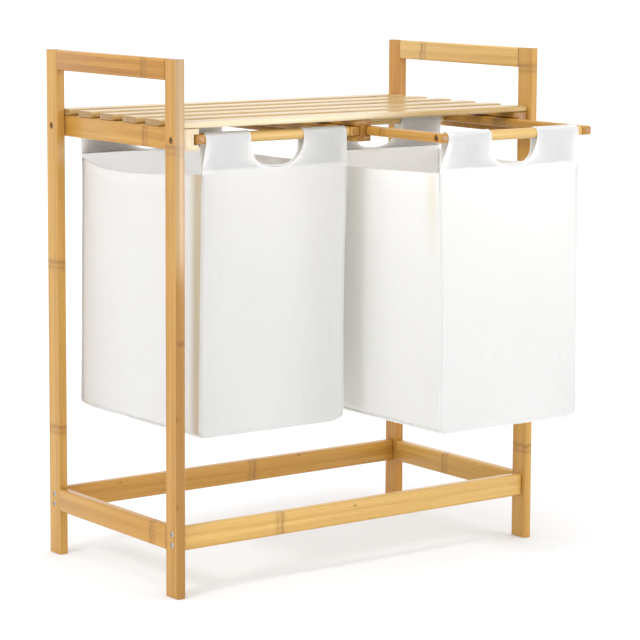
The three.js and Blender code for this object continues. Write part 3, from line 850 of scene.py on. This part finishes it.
def hem_flap(strip, outward, share, reach, sign, lean):
    """The flap of a tunnel, row by row from the top of the dowel at the strip's first row: a quarter
    circle down the dowel's inner side, eased to the line where it is sewn to the wall: hook * (1 - e) +
    seam * e, with e the share of the flap to the power 1.15. Its edges wander by 0.6 mm."""
    sewn = int(np.argmin(np.abs(refined(ROWS, 0) - (QUARTER + FLAP - 0.002))))
    seam = strip[sewn] - outward[sewn] * LAYERS_APART
    turn = np.clip(reach / LOOP, 0, math.pi / 2)[:, None]
    hook = np.empty((len(reach), len(share), 3))
    hook[..., 0] = share[None] * TUNNEL_HALF + lean
    hook[..., 0] += 0.0006 * np.sin(reach * 150)[:, None] * np.sign(share)
    hook[..., 1] = sign * (REACH - LOOP * np.sin(turn))
    hook[..., 2] = AXIS_Z + LOOP * np.cos(turn)
    ease = np.clip((reach - QUARTER) / FLAP, 0, 1)[:, None, None] ** 1.15
    return hook * (1 - ease) + seam[None] * ease


def outside_grip(x, t, grip):
    """Below 0 inside a grip's outline, whose power is p = GRIP_POWER: (|x / half its width|^p + |drop /
    its height|^p)^(1 / p) - 1. t is the distance along the cloth from the top of the dowel."""
    drop = np.clip(t - QUARTER, 0, None) / GRIP_DROP
    return (np.abs(x / grip) ** GRIP_POWER + drop**GRIP_POWER) ** (1 / GRIP_POWER) - 1


def grip_cut(flat_x, past, grip):
    """The cloth's quads without those inside the grips, and how far each point moves across and along
    the cloth so that the edge of the hole lies on the outline: four steps down the value's slope."""
    quads = grid_quads(np.arange(flat_x.size).reshape(flat_x.shape))
    x, t = flat_x.reshape(-1).copy(), past.reshape(-1).copy()
    gone = outside_grip(x[quads].mean(1), t[quads].mean(1), grip) < 0
    edge = np.intersect1d(quads[gone], quads[~gone])
    nudge = 1e-5
    for _ in range(4):
        value = outside_grip(x[edge], t[edge], grip)
        slope_x = (outside_grip(x[edge] + nudge, t[edge], grip) - value) / nudge
        slope_t = (outside_grip(x[edge], t[edge] + nudge, grip) - value) / nudge
        step = value / (slope_x**2 + slope_t**2)
        x[edge] -= step * slope_x
        t[edge] -= step * slope_t
    return quads[~gone], x.reshape(flat_x.shape) - flat_x, t.reshape(flat_x.shape) - past


def stitch_rows(flat, flat_x, past, gap, grip):
    """The stitch UV: each point's distance off the nearest row of stitches, and its place along it. The
    rows run along the tunnel's seam, along the hems beside the tunnels and round the grips."""
    tunnel = past - (QUARTER + FLAP - FLAP_ROW)
    hem = np.where(past < HEM_AT + 0.01, np.abs(flat_x) - (TUNNEL_HALF - HEM_ROW), 1)
    lines = np.stack([tunnel, hem, gap - GRIP_ROW], -1)
    closest = np.argmin(np.abs(lines), -1)
    off_row = np.take_along_axis(lines, closest[..., None], -1)[..., 0]
    round_grip = grip * np.arctan2(past - QUARTER, flat_x)
    on_row = np.where(closest == 0, flat[..., 0], np.where(closest == 1, flat[..., 1], round_grip))
    return np.stack([off_row, on_row], -1)


def sewn_strip(body, strip, outward, share, width, finish, look):
    """The front, bottom and rear: a flap is added at both ends of the strip, the grips are cut out, and
    the UVs give the flat cloth and the rows of stitches. v is the distance along the cloth from its
    middle, past the one from the nearest dowel's top, and gap about the one from a grip's edge."""
    reach = np.linspace(0, QUARTER + FLAP, round((QUARTER + FLAP) / CELL * FINER) + 1)[1:]
    front_flap = hem_flap(strip, outward, share, reach, -1, look["lean"][0])[::-1]
    rear_flap = hem_flap(strip[::-1], outward[::-1], share, reach, 1, look["lean"][0])
    grid = np.concatenate([front_flap, strip, rear_flap])
    v = np.concatenate([-reach[::-1], refined(ROWS, 0), 2 * HALF_RUN + reach]) - HALF_RUN
    tunnel = np.full(len(reach), TUNNEL_HALF)
    flat_width = np.concatenate([tunnel, width, tunnel])
    flat_x = share[None] * flat_width[:, None]
    past = np.broadcast_to(np.abs(np.abs(v) - HALF_RUN)[:, None], flat_x.shape)
    quads, shift_x, shift_t = grip_cut(flat_x, past, look["grip"])
    shift_v = shift_t * (np.sign(np.abs(v) - HALF_RUN) * np.sign(v))[:, None]
    slope_v = np.gradient(grid, v, axis=0)
    slope_x = np.gradient(grid, share, axis=1) / flat_width[:, None, None]
    grid = grid + shift_x[..., None] * slope_x + shift_v[..., None] * slope_v
    flat = np.stack([flat_x + shift_x, v[:, None] + shift_v], -1)
    gap = outside_grip(flat_x, past, look["grip"]) * 0.04
    stitch = stitch_rows(flat, flat_x, past, gap, look["grip"])
    thick = (np.abs(flat_x) > TUNNEL_HALF - TUNNEL_HEM) & (past < HEM_AT) | (gap < GRIP_HEM)
    # Painted tan shade along the strip's two seams, below the side hems.
    painted_seam_shade = np.zeros(thick.shape)
    painted_seam_shade[:, [FINER, -1 - FINER]] = 0.3 * (past[:, :1] > HEM_AT)
    piece = sewn_sheet(f"{body}_bag_front_bottom_rear", grid.reshape(-1, 3) + MIDDLE[body],
                       flat.reshape(-1, 2), stitch.reshape(-1, 2), quads, thick.reshape(-1),
                       painted_seam_shade.reshape(-1), finish)
    fitted(piece, body, "canvas", f"{body}_canvas_bag")
    return piece


def sewn_panel(body, side, panel, lining, finish, look):
    """A side panel, sewn to the strip's inner face all along the seam and out along its flange. The
    first of its pleats gets painted tan shade."""
    column, edge = (FINER, 0) if side == "left" else (-1 - FINER, -1)
    tall, broad = HIGH * FINER, WIDE * FINER
    panel[:, 0], panel[-1], panel[:, -1] = seam_runs(lining, column, FINER)
    front, base, rear = seam_runs(lining, edge, FINER)
    index = np.arange(panel.size // 3).reshape(panel.shape[:2])
    border = np.concatenate([index[:, 0], index[-1, 1:], index[:-1, -1][::-1]])
    outer = index.size + np.arange(len(border))
    quads = np.concatenate([grid_quads(index), grid_quads(np.stack([border, outer], 1))[:, ::-1]])
    points = np.concatenate([panel.reshape(-1, 3), front, base[1:], rear[:-1][::-1]])
    across, down = np.arange(broad + 1) * CELL / FINER, np.arange(tall + 1) * CELL / FINER
    flat = np.stack(np.meshgrid(across, -down), -1).reshape(-1, 2)
    flat = np.concatenate([flat, flat[border] + np.array([SEAM_FLAT, 0.0])])
    stitch = np.stack([flat[:, 1] + SIDE_HEM, flat[:, 0]], 1)
    thick = flat[:, 1] > -SIDE_HEM - 0.0005
    u, v = np.meshgrid(np.linspace(0, 1, broad + 1), np.linspace(0, 1, tall + 1))
    # Painted tan shade in the panel's first pleat, by its depth.
    pleat = np.clip(fold(u, v, *look[f"{side}_folds"][0]) / PLEAT_SHADE_FULL, 0, 1).reshape(-1)
    pleat = np.concatenate([pleat, np.zeros(len(border))])
    if side == "left":
        quads = quads[:, ::-1]
    piece = sewn_sheet(f"{body}_bag_{side}_panel", points + MIDDLE[body], flat, stitch, quads, thick,
                       pleat, finish)
    fitted(piece, body, "canvas", f"{body}_canvas_bag")


def bag(body, look):
    """A bag on its dowels. The strip and the side panels are one cloth while it hangs, and three sheets
    of a finer mesh after that. look gives half the width, how far the middle leans at four heights, half
    the grips' width, the crown of the walls and the phase of their waves, and for each side the bulge,
    the sag of the hem and the pleats."""
    strip, share, width = strip_shape(look)
    numbers = np.arange(strip.size // 3).reshape(strip.shape[:2])
    points, quads, panels = [strip.reshape(-1, 3)], [grid_quads(numbers)], {}
    total = numbers.size
    for side, column in (("left", 1), ("right", -2)):
        panel = panel_shape(strip, column, side, look)
        index = np.full(panel.shape[:2], -1)
        index[:, 0], index[-1], index[:, -1] = seam_runs(numbers, column)
        new = index < 0
        index[new] = total + np.arange(new.sum())
        total += int(new.sum())
        points.append(panel[new])
        quads.append(grid_quads(index))
        panels[side] = index
    points, quads = np.concatenate(points), np.concatenate(quads)
    points = settled(points, quads, numbers[NEAR < HELD].reshape(-1))
    finish = canvas(f"canvas_{body}")
    strip = rounded_below(refined(refined(points[numbers], 0), 1), look)
    outward = normals(strip)
    strip_piece = sewn_strip(body, strip, outward, refined(share, 0), refined(width, 0), finish, look)
    lining = strip - outward * SEAM_APART
    for side, index in panels.items():
        panel = rounded_below(refined(refined(points[index], 0), 1), look)
        sewn_panel(body, side, panel, lining, finish, look)


bag("left_bin", {
    "half": 0.123, "lean": (-0.0027, -0.0015, -0.004, -0.006), "grip": 0.0452,
    "left": 0.003, "right": 0.003, "crown": 0.001, "phase": 0.6, "left_hem": 0.0115, "right_hem": 0.0,
    "left_folds": ((0.036, 0.012, 0.009, 0.4, 1.2), (0.93, 0.005, 0.02, 0.1, 0.3)),
    "right_folds": ((0.08, 0.004, 0.014, 0.3, 0.4),),
})
bag("right_bin", {
    "half": 0.1265, "lean": (-0.004, -0.0055, -0.003, -0.001), "grip": 0.042,
    "left": 0.002, "right": 0.004, "crown": 0.001, "phase": 2.1, "left_hem": 0.0055, "right_hem": 0.006,
    "left_folds": ((0.06, 0.003, 0.014, 0.1, 0.2),),
    "right_folds": ((0.93, 0.005, 0.014, 0.3, 0.4),),
})


# Studio: a plain white floor, an even white surround, a soft key light from the left and a large softbox
# in front on the right, which the lacquer mirrors on faces that look forwards.
floor_material, floor_shader, _ = new_material("studio_floor")
set_inputs(floor_shader, {"Base Color": (0.87, 0.883, 0.9, 1), "Roughness": 0.9, "Specular IOR Level": 0.0})
floor_corners = 40.0 * np.array([(-1, -1, 0), (1, -1, 0), (1, 1, 0), (-1, 1, 0)])
floor = mesh_of("studio_floor", floor_corners, [(0, 1, 2, 3)], floor_material)

world = bpy.data.worlds.new("studio")
world.use_nodes = True
set_inputs(world.node_tree.nodes["Background"], {"Color": (1, 1, 1, 1), "Strength": 1.22})
scene.world = world


def light(name, kind, place, turned_by, **settings):
    """A light at a place, turned by angles in degrees."""
    data = bpy.data.lights.new(name, kind)
    for setting, value in settings.items():
        setattr(data, setting, value)
    lamp = bpy.data.objects.new(name, data)
    lamp.location = place
    lamp.rotation_euler = [math.radians(angle) for angle in turned_by]
    lamp.visible_camera = False
    scene.collection.objects.link(lamp)


light("key_light", "SUN", (0, 0, 0), (47, 0, -78), energy=0.55, angle=math.radians(10))
light("softbox", "AREA", (2.774, -4.12, 0.56), (90, 0, 36.4), shape="RECTANGLE", size=1.2, size_y=1.0,
      energy=38)
scene.view_settings.view_transform = "Standard"
